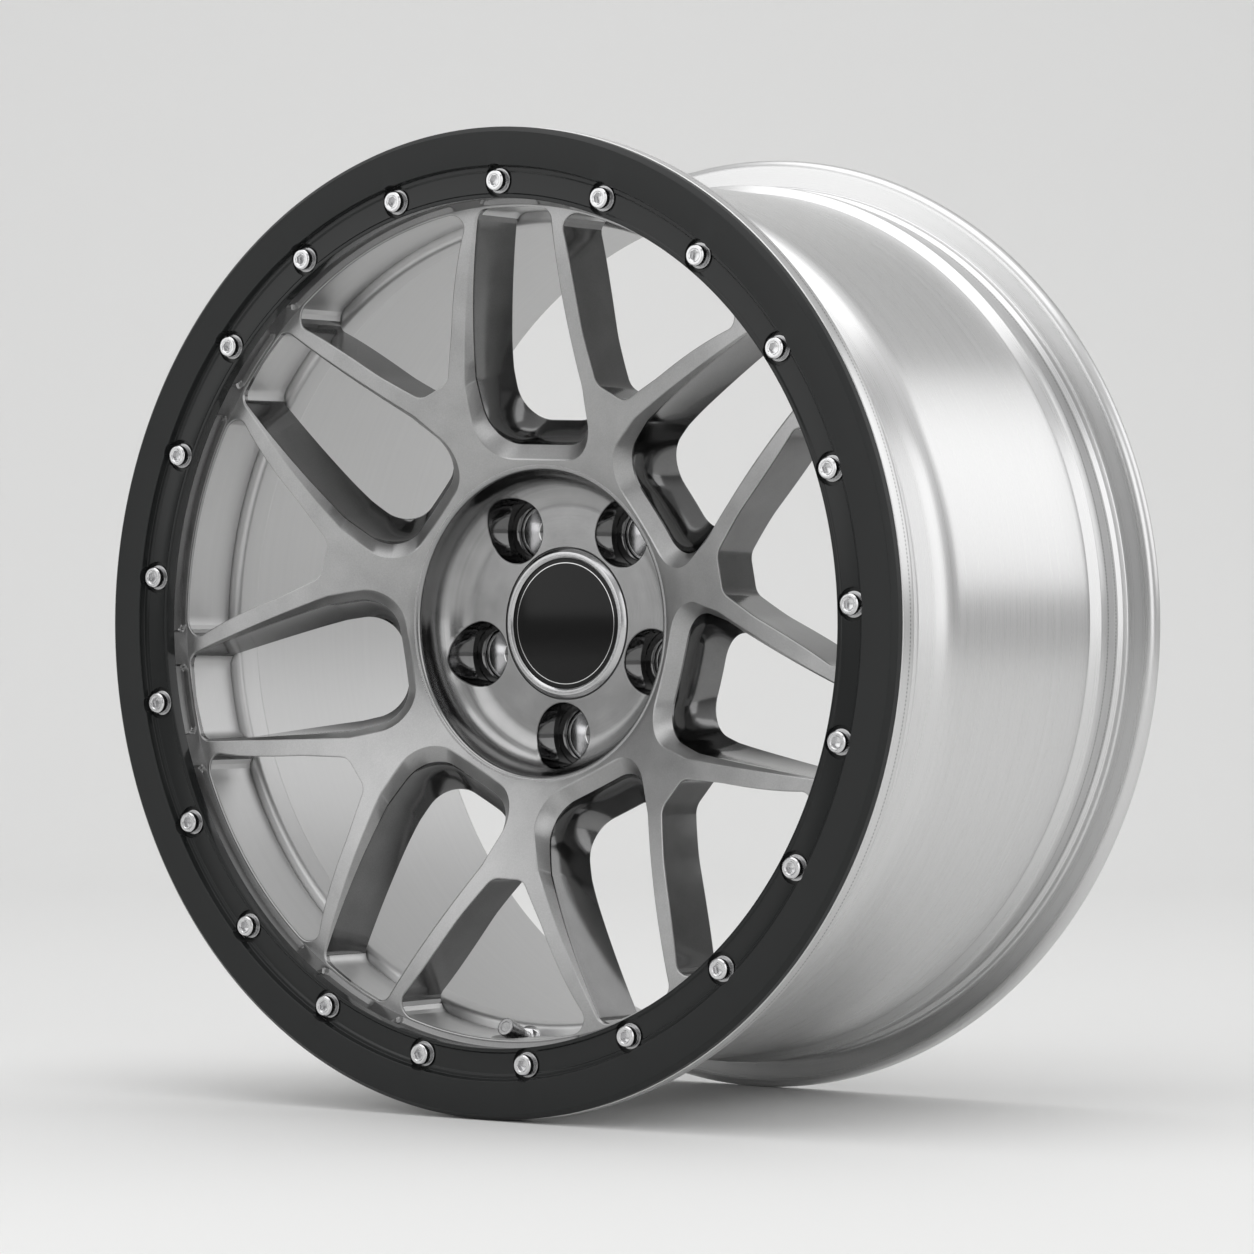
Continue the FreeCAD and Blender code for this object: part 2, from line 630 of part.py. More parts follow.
def spread(node, source, radius, front, count, start_angle):
    """Identical pieces set round the axle, heads to the front, as one group of solids."""
    group = doc.addObject("Part::Feature", node)
    facing = FreeCAD.Rotation(Z_AXIS, -Y_AXIS)
    solids = []
    for i in range(int(value(count))):
        turn = FreeCAD.Rotation(Y_AXIS, 360 * i / int(value(count)))
        spot = FreeCAD.Vector(0, value(front), value(radius) * start_angle)
        solid = source.Shape.copy()
        solid.Placement = FreeCAD.Placement(turn.multVec(spot), turn * facing)
        solids.append(solid)
    group.Shape = Part.makeCompound(solids)
    keep(node, group)


# Ring bolts: a low cheese head with a hexagon socket, on its own washer. Height 0 is under the head.
bolt_blank = turned_piece("bolt_blank", [
    ("0", "-dim.bolt_length"),
    ("dim.bolt_radius - 0.8", "-dim.bolt_length"),
    ("dim.bolt_radius", "-dim.bolt_length + 0.8"),
    ("dim.bolt_radius", "0"),
    ("dim.head_radius", "0"),
    ("dim.head_radius", "dim.head_height - 0.7"),
    ("dim.head_radius - 0.7", "dim.head_height"),
    ("0", "dim.head_height"),
])
bolt_socket = hex_prism("bolt_socket", "dim.socket_width", "dim.socket_depth + 1",
                        "dim.head_height - dim.socket_depth")
bolt = doc.addObject("Part::Cut", "bolt")
bolt.Base = bolt_blank
bolt.Tool = bolt_socket
washer = turned_piece("washer", [
    ("dim.bolt_radius + dim.slip", "0"),
    ("dim.washer_radius", "0"),
    ("dim.washer_radius", "dim.washer_thick"),
    ("dim.bolt_radius + dim.slip", "dim.washer_thick"),
])
# Stud seats: steel sleeves with a 60 degree cone, pressed into the disc. Height 0 is the back.
stud_seat = turned_piece("stud_seat", [
    ("dim.stud_hole", "0"),
    ("dim.seat_radius", "0"),
    ("dim.seat_radius", "dim.seat_height"),
    ("dim.cone_radius", "dim.seat_height"),
    ("dim.stud_hole", "dim.seat_height - dim.cone_height"),
])
doc.recompute()
spread("ring_bolts", bolt, "dim.bolt_circle", depth("dim.pocket_depth - dim.washer_thick"), "dim.bolts", 1)
spread("ring_bolt_washers", washer, "dim.bolt_circle", depth("dim.pocket_depth"), "dim.bolts", 1)
spread("stud_seats", stud_seat, "dim.stud_circle", depth("dim.seat_bore_depth"), "dim.studs", -1)

# Centre cap: plate with sprung legs in the bore, wire spring, plain badge disc, polished bezel
cap = new_body("cap_body")
keep("cap_body", cap)
PLATE_BACK = "dim.pad_depth + dim.cap_recess"
PLATE_FRONT = f"{PLATE_BACK} - dim.cap_plate"
LEG_INSIDE = "dim.cap_skirt - dim.cap_skirt_wall"
revolve(cap, "cap_turned", [
    ("0", depth(PLATE_FRONT)),
    ("dim.cap_radius", depth(PLATE_FRONT)),
    ("dim.cap_radius", depth(PLATE_BACK)),
    ("dim.cap_skirt", depth(PLATE_BACK)),
    ("dim.cap_skirt", depth(f"{PLATE_BACK} + dim.cap_skirt_length - 4")),
    ("dim.cap_skirt + 0.4", depth(f"{PLATE_BACK} + dim.cap_skirt_length - 2")),
    ("dim.cap_skirt - 0.8", depth(f"{PLATE_BACK} + dim.cap_skirt_length")),
    (LEG_INSIDE, depth(f"{PLATE_BACK} + dim.cap_skirt_length")),
    (LEG_INSIDE, depth(f"{PLATE_BACK} + 1")),
    ("0", depth(f"{PLATE_BACK} + 1")),
])
slot = new_sketch(cap, "leg_slot_sketch", "XZ_Plane", f"dim.hub_depth - ({PLATE_BACK} + 3)")
draw(slot, [
    ("-dim.leg_slot / 2", f"{LEG_INSIDE} - 2"),
    ("dim.leg_slot / 2", f"{LEG_INSIDE} - 2"),
    ("dim.leg_slot / 2", "dim.cap_skirt + 2"),
    ("-dim.leg_slot / 2", "dim.cap_skirt + 2"),
])
slotted = pocket_from_front(cap, slot, "leg_slot", "dim.cap_skirt_length")
repeat(cap, [slotted], "leg_slots", "dim.cap_legs")

badge = new_body("cap_badge")
keep("cap_badge", badge)
revolve(badge, "badge_turned", [
    ("0", depth(f"{PLATE_FRONT} - dim.badge_thick")),
    ("dim.badge_radius - 0.3", depth(f"{PLATE_FRONT} - dim.badge_thick")),
    ("dim.badge_radius", depth(f"{PLATE_FRONT} - dim.badge_thick + 0.3")),
    ("dim.badge_radius", depth(PLATE_FRONT)),
    ("0", depth(PLATE_FRONT)),
])
bezel = new_body("cap_bezel")
keep("cap_bezel", bezel)
revolve(bezel, "bezel_turned", [
    ("dim.bezel_inner", depth(PLATE_FRONT)),
    ("dim.bezel_inner", depth(f"{PLATE_FRONT} - dim.badge_thick - 0.4")),
    ("dim.bezel_inner + 1", depth(f"{PLATE_FRONT} - dim.bezel_rise")),
    ("dim.bezel_radius - 2", depth(f"{PLATE_FRONT} - dim.bezel_rise")),
    ("dim.bezel_radius", depth(f"{PLATE_FRONT} - 0.6")),
    ("dim.bezel_radius", depth(PLATE_FRONT)),
])
spring = doc.addObject("Part::Torus", "cap_spring")
spring.setExpression("Radius1", f"{LEG_INSIDE} - dim.spring_wire - dim.slip / 2")
spring.setExpression("Radius2", "dim.spring_wire")
spring.Placement = FreeCAD.Placement(FreeCAD.Vector(), FreeCAD.Rotation(X_AXIS, 90))
spring.setExpression("Placement.Base.y", depth("dim.spring_depth"))
keep("cap_spring", spring)

# Valve, clamped through the well wall. Height 0 is the outside of the barrel, along the valve axis.
STEM_SEAT = "-dim.seal_thick"
WASHER_TOP = "dim.valve_spot_height + dim.valve_washer_thick"
stem = turned_piece("valve_stem", [
    ("0", f"{STEM_SEAT} - dim.valve_base_thick"),
    ("dim.valve_base", f"{STEM_SEAT} - dim.valve_base_thick"),
    ("dim.valve_base", STEM_SEAT),
    ("dim.valve_stem", STEM_SEAT),
    ("dim.valve_stem", "dim.valve_length - 0.8"),
    ("dim.valve_stem - 0.8", "dim.valve_length"),
    ("dim.valve_bore", "dim.valve_length"),
    ("dim.valve_bore", "dim.valve_length - dim.core_length - 1"),
    ("0", "dim.valve_length - dim.core_length - 1"),
])
seal = turned_piece("valve_seal", [
    ("dim.valve_stem + dim.slip", STEM_SEAT),
    ("dim.seal_radius", STEM_SEAT),
    ("dim.seal_radius", "0"),
    ("dim.valve_stem + dim.slip", "0"),
])
valve_washer = turned_piece("valve_washer", [
    ("dim.valve_stem + dim.slip", "dim.valve_spot_height"),
    ("dim.valve_washer", "dim.valve_spot_height"),
    ("dim.valve_washer", WASHER_TOP),
    ("dim.valve_stem + dim.slip", WASHER_TOP),
])
core = turned_piece("valve_core", [
    ("0", "dim.valve_length - dim.core_length - 1"),
    ("dim.core_radius * 0.6", "dim.valve_length - dim.core_length - 1"),
    ("dim.core_radius", "dim.valve_length - dim.core_length + 1"),
    ("dim.core_radius", "dim.valve_length - 3"),
    ("dim.core_radius * 0.35", "dim.valve_length - 3"),
    ("dim.core_radius * 0.35", "dim.valve_length - 1"),
    ("0", "dim.valve_length - 1"),
])
valve_cap = turned_piece("valve_cap", [
    ("dim.valve_stem + dim.slip", "dim.valve_cap_start"),
    ("dim.valve_cap_radius", "dim.valve_cap_start"),
    ("dim.valve_cap_radius", "dim.valve_cap_start + dim.valve_cap_length - 1"),
    ("dim.valve_cap_radius - 1", "dim.valve_cap_start + dim.valve_cap_length"),
    ("0", "dim.valve_cap_start + dim.valve_cap_length"),
    ("0", "dim.valve_length + dim.slip / 10"),
    ("dim.valve_stem + dim.slip", "dim.valve_length + dim.slip / 10"),
])
nut_hex = hex_prism("valve_nut_hex", "dim.valve_nut", "dim.valve_nut_height", WASHER_TOP)
nut_bore = doc.addObject("Part::Cylinder", "valve_nut_bore")
nut_bore.setExpression("Radius", "dim.valve_stem + dim.slip")
nut_bore.setExpression("Height", "dim.valve_length")
nut = doc.addObject("Part::Cut", "valve_nut")
nut.Base = nut_hex
nut.Tool = nut_bore
doc.recompute()
rolled = FreeCAD.Placement(FreeCAD.Vector(), FreeCAD.Rotation(Y_AXIS, value("dim.roll")))
for piece in parts.values():
    piece.Placement = rolled * piece.Placement
for node, piece in (("valve_stem", stem), ("valve_seal", seal), ("valve_washer", valve_washer),
                    ("valve_nut", nut), ("valve_core", core), ("valve_cap", valve_cap)):
    keep(node, piece)
    piece.Placement = rolled * valve_placement(0)
doc.recompute()

faults = [item.Name for item in doc.Objects if "Invalid" in item.State or "Error" in item.State]
faults += [node for node, piece in parts.items() if piece.Shape.isNull() or not piece.Shape.isValid()]
if faults:
    raise RuntimeError(f"failed objects: {faults}")
os.makedirs("parts", exist_ok=True)
for node, piece in parts.items():
    piece.Shape.exportStep(f"parts/{node}.step")
    print(f"{node}: {len(piece.Shape.Solids)} solids, {piece.Shape.Volume / 1000:.1f} cm3")
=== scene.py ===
import math

import bpy
from mathutils import Matrix, Vector
from mathutils.geometry import delaunay_2d_cdt


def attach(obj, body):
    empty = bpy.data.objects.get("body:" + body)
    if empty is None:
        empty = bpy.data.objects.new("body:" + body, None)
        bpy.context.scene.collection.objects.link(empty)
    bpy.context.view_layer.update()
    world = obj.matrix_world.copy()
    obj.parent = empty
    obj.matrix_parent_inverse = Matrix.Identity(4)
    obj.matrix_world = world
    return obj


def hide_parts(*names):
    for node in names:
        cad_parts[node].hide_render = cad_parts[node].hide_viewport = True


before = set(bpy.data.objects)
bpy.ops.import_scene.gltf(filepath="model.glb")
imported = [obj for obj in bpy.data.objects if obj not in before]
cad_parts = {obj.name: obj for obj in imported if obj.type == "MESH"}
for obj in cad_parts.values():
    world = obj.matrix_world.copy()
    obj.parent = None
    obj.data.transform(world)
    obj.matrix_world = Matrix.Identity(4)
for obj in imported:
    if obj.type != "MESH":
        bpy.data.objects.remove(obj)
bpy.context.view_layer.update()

# Rim barrel: one forging, turned all over and left bare under a clear coat. Its front flange takes
# the disc and the ring, and the valve is clamped through the wall of its drop well.

# Sizes are in millimetres. The axle runs along Y, depths are measured back from the front of the
# face ring, and the wheel has rolled two degrees clockwise.
HUB_DEPTH = 102.5
ROLL = math.radians(2)
FRONT = Vector((0, -HUB_DEPTH, 0))
BACKWARDS = Vector((0, 1, 0))
TOP, FOOT = math.pi / 2, -math.pi / 2


def at(radius, angle, depth):
    """A point of the wheel, its angle in radians from +X towards +Z, before the roll."""
    angle -= ROLL
    return Vector((radius * math.cos(angle), depth - HUB_DEPTH, radius * math.sin(angle)))


def select_only(*objects):
    bpy.ops.object.select_all(action="DESELECT")
    for obj in objects:
        obj.select_set(True)
    bpy.context.view_layer.objects.active = objects[0]


def as_object(name, points, edges, faces):
    mesh = bpy.data.meshes.new(name)
    mesh.from_pydata([Vector(point) / 1000 for point in points], edges, faces)
    obj = bpy.data.objects.new(name, mesh)
    bpy.context.scene.collection.objects.link(obj)
    return obj


def finish_mesh(obj, smooth_angle=30):
    """Weld, face the normals outwards and shade smoothly across gentle edges."""
    select_only(obj)
    bpy.ops.object.mode_set(mode="EDIT")
    bpy.ops.mesh.select_all(action="SELECT")
    bpy.ops.mesh.remove_doubles(threshold=1e-6)
    bpy.ops.mesh.normals_make_consistent(inside=False)
    bpy.ops.object.mode_set(mode="OBJECT")
    bpy.ops.object.shade_smooth_by_angle(angle=math.radians(smooth_angle))


def fillet(before, corner, after, radius, count):
    """Points of the arc that rounds a corner between two straight edges."""
    here = Vector(corner)
    back, ahead = (Vector(before) - here).normalized(), (Vector(after) - here).normalized()
    half = back.angle(ahead) / 2
    reach = radius / math.tan(half)
    centre = here + (back + ahead).normalized() * (radius / math.sin(half))
    start, end = here + back * reach - centre, here + ahead * reach - centre
    sweep = -start.angle_signed(end)
    return [centre + Matrix.Rotation(sweep * k / count, 2) @ start for k in range(count + 1)]


def rounded(*corners):
    """A closed profile. A corner is (radius, height), with a fillet as third value where it is round."""
    profile = []
    for i, corner in enumerate(corners):
        if len(corner) == 2:
            profile.append(corner)
        else:
            after = corners[(i + 1) % len(corners)]
            profile += fillet(corners[i - 1][:2], corner[:2], after[:2], corner[2], 5)
    return profile


def turned(name, profile, steps, place=FRONT, axis=BACKWARDS):
    """Spin a closed profile of (radius, height) round an axis that starts at place."""
    count = len(profile)
    edges = [(i, (i + 1) % count) for i in range(count) if profile[i][0] or profile[(i + 1) % count][0]]
    obj = as_object(name, [(r, 0, h) for r, h in profile], edges, [])
    select_only(obj)
    bpy.ops.object.mode_set(mode="EDIT")
    bpy.ops.mesh.select_all(action="SELECT")
    bpy.ops.mesh.spin(steps=steps, angle=2 * math.pi, center=(0, 0, 0), axis=(0, 0, 1))
    bpy.ops.object.mode_set(mode="OBJECT")
    obj.rotation_euler = Vector((0, 0, 1)).rotation_difference(axis).to_euler()
    obj.location = place / 1000
    bpy.ops.object.transform_apply()
    finish_mesh(obj)
    return obj


def cut(obj, tool):
    """Take one solid out of another."""
    change = obj.modifiers.new("cut", "BOOLEAN")
    change.object = tool
    change.solver = "MANIFOLD"
    select_only(obj)
    bpy.ops.object.modifier_apply(modifier=change.name)
    bpy.data.objects.remove(tool)
    finish_mesh(obj)


FLANGE = 248.3
barrel = turned("barrel", rounded(
    (216, 15.5), (229.2, 15.5), (229.2, 6, 0.4), (FLANGE, 6, 0.5), (FLANGE, 19, 5), (231, 19, 6),
    (229, 43, 1), (231, 46, 1.2), (226, 51, 0.8), (208, 59, 1.5), (208, 63, 1.5), (228.5, 80, 20),
    (228.5, 206.9, 0.8), (233, 210.9, 0.8), (233, 216.9, 0.8), (231, 218.9, 0.6),
    (231, 229.9, 0.6), (233, 231.9, 0.6), (233, 235.9, 1.5), (FLANGE, 235.9, 4.5), (FLANGE, 245.9, 4),
    (228.5, 245.9, 0.6), (223.5, 237.9, 0.8), (223.5, 82.5, 8), (203, 65.5, 3), (203, 50, 3),
    (216, 50)), 360)
VALVE_LEAN = math.radians(24)
valve_foot = at(215.5, FOOT, 55.7)
valve_axis = at(-math.sin(VALVE_LEAN), FOOT, HUB_DEPTH - math.cos(VALVE_LEAN))


def on_valve(name, *corners):
    """A turned piece on the axis of the valve, heights from the outside of the barrel."""
    return turned(name, rounded(*corners), 64, valve_foot, valve_axis)


cut(barrel, on_valve("valve_hole", (0, -10), (4.4, -10), (4.4, 6), (8, 6), (8, 46), (0, 46)))


def add(tree, kind, inputs, **settings):
    """A shader node. An input is a constant, or the socket that it takes its value from."""
    node = tree.nodes.new(kind)
    for name, setting in settings.items():
        setattr(node, name, setting)
    for name, value in inputs.items():
        if isinstance(value, bpy.types.NodeSocket):
            tree.links.new(value, node.inputs[name])
        else:
            node.inputs[name].default_value = value
    return node.outputs[0]


def calc(tree, operation, *values):
    """The result of a sum on constants or sockets."""
    return add(tree, "ShaderNodeMath", dict(enumerate(values)), operation=operation)


def spread(tree, value, low, high, to_low, to_high):
    """A value stretched from one range to another, and kept inside it."""
    return add(tree, "ShaderNodeMapRange", {"Value": value, "From Min": low, "From Max": high,
                                            "To Min": to_low, "To Max": to_high})


def blend(tree, factor, a, b):
    return add(tree, "ShaderNodeMix", {"Factor": factor, "A": a, "B": b})


def speckle(tree, scale, detail):
    """Noise through the piece, from 0 to 1."""
    places = tree.nodes.new("ShaderNodeTexCoord").outputs["Object"]
    return add(tree, "ShaderNodeTexNoise", {"Vector": places, "Scale": scale, "Detail": detail})


def finish(name, colour, roughness, metallic=1.0):
    """A new material, its tree and its shader."""
    material = bpy.data.materials.new(name)
    material.use_nodes = True
    shader = material.node_tree.nodes["Principled BSDF"]
    shader.inputs["Base Color"].default_value = (*colour, 1)
    shader.inputs["Roughness"].default_value = roughness
    shader.inputs["Metallic"].default_value = metallic
    return material, material.node_tree, shader


def grey(tree, shader, shade):
    """Make the colour of a finish a grey that changes over the surface."""
    tint = add(tree, "ShaderNodeCombineColor", {0: shade, 1: shade, 2: shade})
    tree.links.new(tint, shader.inputs["Base Color"])


def relief(tree, shader, strength, height, **more):
    """Raise a pattern by up to a tenth of a millimetre."""
    bump = {"Strength": strength, "Distance": 0.0001, "Height": height, **more}
    tree.links.new(add(tree, "ShaderNodeBump", bump), shader.inputs["Normal"])


def use(tree, group):
    """An instance of a node group in a material."""
    node = tree.nodes.new("ShaderNodeGroup")
    node.node_tree = group
    return node.outputs


def polar_group():
    """Radius and angle round the axle, and depth, of a point in metres and radians."""
    tree = bpy.data.node_groups.new("polar", "ShaderNodeTree")
    outputs = tree.nodes.new("NodeGroupOutput")
    places = tree.nodes.new("ShaderNodeTexCoord")
    split = tree.nodes.new("ShaderNodeSeparateXYZ")
    tree.links.new(places.outputs["Object"], split.inputs[0])
    x, y, z = split.outputs
    flat = add(tree, "ShaderNodeCombineXYZ", {0: x, 2: z})
    length = tree.nodes.new("ShaderNodeVectorMath")
    length.operation = "LENGTH"
    tree.links.new(flat, length.inputs[0])
    angle = calc(tree, "ARCTAN2", z, x)
    for name, socket in (("Radius", length.outputs["Value"]), ("Angle", angle), ("Depth", y)):
        tree.interface.new_socket(name, in_out="OUTPUT", socket_type="NodeSocketFloat")
        tree.links.new(socket, outputs.inputs[name])
    return tree


POLAR = polar_group()


def lathe_group():
    """Fine lines round the axle, from 0 to 1, as a turning tool leaves them."""
    tree = bpy.data.node_groups.new("lathe_lines", "ShaderNodeTree")
    tree.interface.new_socket("Lines", in_out="OUTPUT", socket_type="NodeSocketFloat")
    outputs = tree.nodes.new("NodeGroupOutput")
    place = use(tree, POLAR)
    across = calc(tree, "ADD", place["Radius"], place["Depth"])
    grooves = []
    for scale, detail in ((2600.0, 2.0), (240.0, 3.0)):
        grooves.append(add(tree, "ShaderNodeTexNoise", {"W": across, "Scale": scale, "Detail": detail},
                           noise_dimensions="1D"))
    tree.links.new(blend(tree, 0.4, *grooves), outputs.inputs["Lines"])
    return tree


LATHE = lathe_group()

turned_aluminium, tree, shader = finish("turned_aluminium", (0.66, 0.66, 0.665), 0.3)
lines = use(tree, LATHE)["Lines"]
place = use(tree, POLAR)
# The inside was turned with a coarser cut and is duller, as is the skirt of the disc, and both are
# painted a little darker as shade inside the wheel. The middle of the wall, which follows the ramp of
# the drop well, parts it from the outside.
wall_middle = spread(tree, place["Depth"], -0.0365, -0.0205, 0.2055, 0.226)
at_skirt = calc(tree, "LESS_THAN", place["Depth"], -0.0523)
skirt_middle = calc(tree, "MULTIPLY", at_skirt, 0.2125)
middle = calc(tree, "MAXIMUM", wall_middle, skirt_middle)
inner = calc(tree, "LESS_THAN", place["Radius"], middle)
outer = calc(tree, "SUBTRACT", 1.0, inner)
# Rows of knurling on the outside: one on the front flange, two on the seat at the back
KNURL_TEETH, KNURL_DEPTHS, KNURL_HALF_WIDTH = 780, (12.3, 220.6, 228.2), 0.0005
rows = 0.0
for depth in KNURL_DEPTHS:
    row = calc(tree, "COMPARE", place["Depth"], (depth - HUB_DEPTH) / 1000, KNURL_HALF_WIDTH)
    rows = calc(tree, "ADD", rows, row)
teeth = calc(tree, "MULTIPLY", place["Angle"], KNURL_TEETH / (2 * math.pi))
teeth = calc(tree, "PINGPONG", teeth, 0.5)
knurl = calc(tree, "MULTIPLY", teeth, rows)
knurl = calc(tree, "MULTIPLY", knurl, outer)
darker = calc(tree, "MULTIPLY_ADD", knurl, -1.1, 1.0)
# Painted shade: the inside of the wheel is made 8 per cent darker
inside_painted_shade = calc(tree, "MULTIPLY_ADD", inner, -0.08, 1.0)
shade = spread(tree, lines, 0.3, 0.7, 0.645, 0.69)
shade = calc(tree, "MULTIPLY", shade, darker)
grey(tree, shader, calc(tree, "MULTIPLY", shade, inside_painted_shade))
rough = spread(tree, lines, 0.25, 0.75, 0.25, 0.33)
tree.links.new(calc(tree, "MULTIPLY_ADD", inner, 0.17, rough), shader.inputs["Roughness"])
relief(tree, shader, 0.02, lines)
shader.inputs["Anisotropic"].default_value = 0.45
shader.inputs["Anisotropic Rotation"].default_value = 0.25
round_axle = add(tree, "ShaderNodeTangent", {}, direction_type="RADIAL", axis="Y")
tree.links.new(round_axle, shader.inputs["Tangent"])


def dress(obj, node, slot, *materials):
    """Give a finished piece its materials, and let it stand for its node of the frame."""
    slots = obj.data.materials
    while len(slots) < len(materials):
        slots.append(None)
    for i, material in enumerate(materials):
        slots[i] = material
    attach(obj, "root")
    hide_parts(node)


dress(barrel, "rim_barrel", "machined_alloy", turned_aluminium)


# Centre disc: a forged dish with forked arms, milled through by scooped hub windows and plain fork
# windows, held between barrel and ring. Its scoops roll round three ways at once, which operators
# can't give, so it is laid out as loops of points that are joined by strips.
def through_three(a, b, c):
    """Depth on the circle through three (radius, depth) points."""
    (x1, y1), (x2, y2), (x3, y3) = a, b, c
    turn = 2 * (x1 * (y2 - y3) + x2 * (y3 - y1) + x3 * (y1 - y2))
    s1, s2, s3 = x1 ** 2 + y1 ** 2, x2 ** 2 + y2 ** 2, x3 ** 2 + y3 ** 2
    cx = (s1 * (y2 - y3) + s2 * (y3 - y1) + s3 * (y1 - y2)) / turn
    cy = (s1 * (x3 - x2) + s2 * (x1 - x3) + s3 * (x2 - x1)) / turn
    radius = math.hypot(x1 - cx, y1 - cy)
    return lambda r: cy + math.copysign(math.sqrt(max(radius ** 2 - (r - cx) ** 2, 0)), y2 - cy)


SPOKES = 7
LIP, RIM, RIM_DEPTH = 80.5, 210, 17
SKIRT, SKIRT_OUTSIDE, SKIRT_END = 209, 215.8, 49.9
PAD_DEPTH, COVE_FOOT, COVE = 70.5, 60, 17.5
dish = through_three((LIP, 46.6), (129, 27.3), (RIM, RIM_DEPTH))


def bowl(r):
    """Front of the hub pad and the cove round it."""
    return PAD_DEPTH if r <= COVE_FOOT else PAD_DEPTH - COVE + math.sqrt(COVE ** 2 - (r - COVE_FOOT) ** 2)


def disc_back(r):
    """Back of the disc: hub pad, arms on a smooth curve, and the end of the skirt on the barrel.
    The line has (radius, depth, slope) at each of its points."""
    line = [(0, HUB_DEPTH, 0), (75, HUB_DEPTH, 0), (77, 96.5, -1.07), (105, 66.6, -0.5), (150, 52.5, -0.12),
            (200, 49.5, 0), (SKIRT, 49.5, 0), (209.4, SKIRT_END, 0), (220, SKIRT_END, 0)]
    for (r0, d0, slope0), (r1, d1, slope1) in zip(line, line[1:]):
        if r <= r1:
            t, width = (r - r0) / (r1 - r0), r1 - r0
            return ((1 + 2 * t) * (1 - t) ** 2 * d0 + t * (1 - t) ** 2 * width * slope0
                    + t * t * (3 - 2 * t) * d1 - t * t * (1 - t) * width * slope1)


def outline(corners, straight, bend):
    """A closed loop of (x, z) from corners (x, z, fillet). Each corner has bend points and each edge
    straight points inside it, so loops made from like corners can be joined point to point."""
    count = len(corners)
    arcs = []
    for i, (x, z, radius) in enumerate(corners):
        arcs.append(fillet(corners[i - 1][:2], (x, z), corners[(i + 1) % count][:2], radius, bend[i]))
    loop = []
    for i in range(count):
        a, b = arcs[i][-1], arcs[(i + 1) % count][0]
        loop += arcs[i] + [a.lerp(b, (k + 1) / (straight[i] + 1)) for k in range(straight[i])]
    return loop


def spread_loop(loop, amount):
    """The loop moved outwards by an amount, each point along its own normal."""
    moved = []
    for i, point in enumerate(loop):
        along = (loop[(i + 1) % len(loop)] - loop[i - 1]).normalized()
        moved.append(point + Vector((along.y, -along.x)) * amount)
    return moved


def bend_top(loop, reach):
    """Bow the end next to the skirt, so that it lies on the circle of the skirt."""
    straight_to = 150
    bowed = []
    for point in loop:
        share = min(max((point.y - straight_to) / (reach - straight_to), 0), 1)
        bowed.append(Vector((point.x, point.y + (math.sqrt(SKIRT ** 2 - point.x ** 2) - reach) * share)))
    return bowed


def hub_loop(half, knee, end, toe_fillet, tip):
    """An outline of a hub window: half its width at the knee, how far out the knee and the inner end
    are, and half its width at the skirt."""
    corners = [(-tip, SKIRT, 6), (-half, knee, 14), (-half + 1, end, toe_fillet),
               (half - 1, end, toe_fillet), (half, knee, 14), (tip, SKIRT, 6)]
    return bend_top(outline(corners, (16, 2, 10, 2, 16, 14), (6, 4, 12, 12, 4, 6)), SKIRT)


def fork_loop():
    reach = 199
    corners = [(-64.3, reach, 6), (-9.6, 129.2, 8), (9.6, 129.2, 8), (64.3, reach, 6)]
    return bend_top(outline(corners, (20, 4, 20, 40), (6, 8, 8, 6)), reach)


def inside(p, polygon, margin):
    """Whether a point is in a polygon, or nearer to its edge than the margin."""
    odd = False
    for a, b in zip(polygon, polygon[1:] + polygon[:1]):
        if margin:
            along = b - a
            share = min(max((p - a).dot(along) / max(along.length_squared, 1e-9), 0), 1)
            if (p - a - along * share).length < margin:
                return True
        if (a.y > p.y) != (b.y > p.y) and p.x < (b.x - a.x) * (p.y - a.y) / (b.y - a.y) + a.x:
            odd = not odd
    return odd


